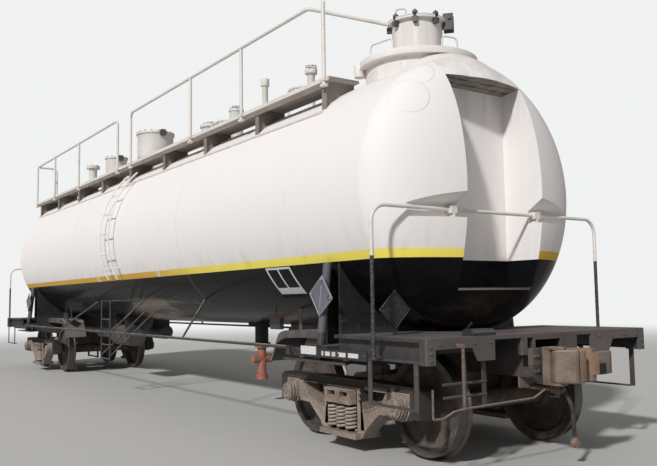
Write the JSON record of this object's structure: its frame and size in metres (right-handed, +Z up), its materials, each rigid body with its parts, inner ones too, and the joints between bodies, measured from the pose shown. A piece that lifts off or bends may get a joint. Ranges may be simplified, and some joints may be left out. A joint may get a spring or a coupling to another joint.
{
  "type": "railway tank car",
  "caption": "Insulated rail tank car on two swivelling trucks, with a walkway, ladder, end decks and couplers.",
  "frame": {"origin": "under the middle of the car, at the lowest points of the wheel flanges", "axes": "+X along the car to the end with the manway dome, -Y to the side with the ladder, +Z up"},
  "size_m": [15.54, 3.036, 4.6598],
  "materials": {
    "coupler_iron": "rusted",
    "deck_paint": "weathered satin black",
    "fitting_paint": "weathered light grey",
    "hose_rubber": "satin black",
    "placard_paint": "satin black",
    "rail_paint": "weathered cream",
    "spring_steel": "dusty brown",
    "tank_paint": "white gloss over a yellow stripe and gloss black",
    "truck_iron": "dusty brown",
    "valve_paint": "faded red",
    "wheel_steel": "dusty, with a bright tread"
  },
  "bodies": {
    "car": {"air_hose": "hose_rubber", "body_bolster_far": "deck_paint", "body_bolster_near": "deck_paint", "bottom_outlet": "valve_paint", "brake_pipe_far": "truck_iron", "brake_pipe_near": "truck_iron", "brake_vessels": "deck_paint", "dome_collar": "tank_paint", "dome_cover": "fitting_paint", "dome_eye_bolts": "fitting_paint", "dome_neck": "tank_paint", "end_deck_far": "deck_paint", "end_deck_near": "deck_paint", "end_handrail_far": "rail_paint", "end_handrail_near": "rail_paint", "end_steps_far": "deck_paint", "end_steps_near": "deck_paint", "hand_brake": "deck_paint", "handrail_far": "rail_paint", "handrail_near": "rail_paint", "head_far": "tank_paint", "head_near": "tank_paint", "hose_coupling": "coupler_iron", "large_dome": "fitting_paint", "placard_holders": "placard_paint", "side_bars": "deck_paint", "side_ladder": "rail_paint", "side_rails": "rail_paint", "small_dome": "fitting_paint", "stub_sill_far": "deck_paint", "stub_sill_near": "deck_paint", "tank_barrel": "tank_paint", "top_valves": "fitting_paint", "uncoupling_lever_far": "truck_iron", "uncoupling_lever_near": "truck_iron", "walkway": "rail_paint", "walkway_brackets": "rail_paint", "wheel_guards_far": "deck_paint", "wheel_guards_near": "deck_paint"},
    "truck_near": {"bearings_near": "truck_iron", "brake_beams_near": "truck_iron", "side_frames_near": "truck_iron", "springs_near": "spring_steel", "truck_bolster_near": "truck_iron"},
    "truck_far": {"bearings_far": "truck_iron", "brake_beams_far": "truck_iron", "side_frames_far": "truck_iron", "springs_far": "spring_steel", "truck_bolster_far": "truck_iron"},
    "coupler_near": {"coupler_near": "coupler_iron", "knuckle_near": "coupler_iron"},
    "coupler_far": {"coupler_far": "coupler_iron", "knuckle_far": "coupler_iron"},
    "wheelset_near_outer": {"wheelset_near_outer": "wheel_steel"},
    "wheelset_near_inner": {"wheelset_near_inner": "wheel_steel"},
    "wheelset_far_outer": {"wheelset_far_outer": "wheel_steel"},
    "wheelset_far_inner": {"wheelset_far_inner": "wheel_steel"}
  },
  "joints": [
    {"name": "truck_near_swivel", "type": "hinge", "parent": "car", "child": "truck_near", "pos_m": [5.75, 0, 0.7], "axis": [0, 0, 1], "range_deg": [-8, 8]},
    {"name": "coupler_near_swing", "type": "hinge", "parent": "car", "child": "coupler_near", "pos_m": [6.7, 0, 0.852], "axis": [0, 0, 1], "range_deg": [-5, 5]},
    {"name": "wheelset_near_outer_spin", "type": "hinge", "parent": "truck_near", "child": "wheelset_near_outer", "pos_m": [6.639, 0, 0.482], "axis": [0, 1, 0], "continuous": true},
    {"name": "wheelset_near_inner_spin", "type": "hinge", "parent": "truck_near", "child": "wheelset_near_inner", "pos_m": [4.861, 0, 0.482], "axis": [0, 1, 0], "continuous": true},
    {"name": "truck_far_swivel", "type": "hinge", "parent": "car", "child": "truck_far", "pos_m": [-5.75, 0, 0.7], "axis": [0, 0, 1], "range_deg": [-8, 8]},
    {"name": "coupler_far_swing", "type": "hinge", "parent": "car", "child": "coupler_far", "pos_m": [-6.7, 0, 0.852], "axis": [0, 0, 1], "range_deg": [-5, 5]},
    {"name": "wheelset_far_outer_spin", "type": "hinge", "parent": "truck_far", "child": "wheelset_far_outer", "pos_m": [-6.639, 0, 0.482], "axis": [0, 1, 0], "continuous": true},
    {"name": "wheelset_far_inner_spin", "type": "hinge", "parent": "truck_far", "child": "wheelset_far_inner", "pos_m": [-4.861, 0, 0.482], "axis": [0, 1, 0], "continuous": true}
  ]
}
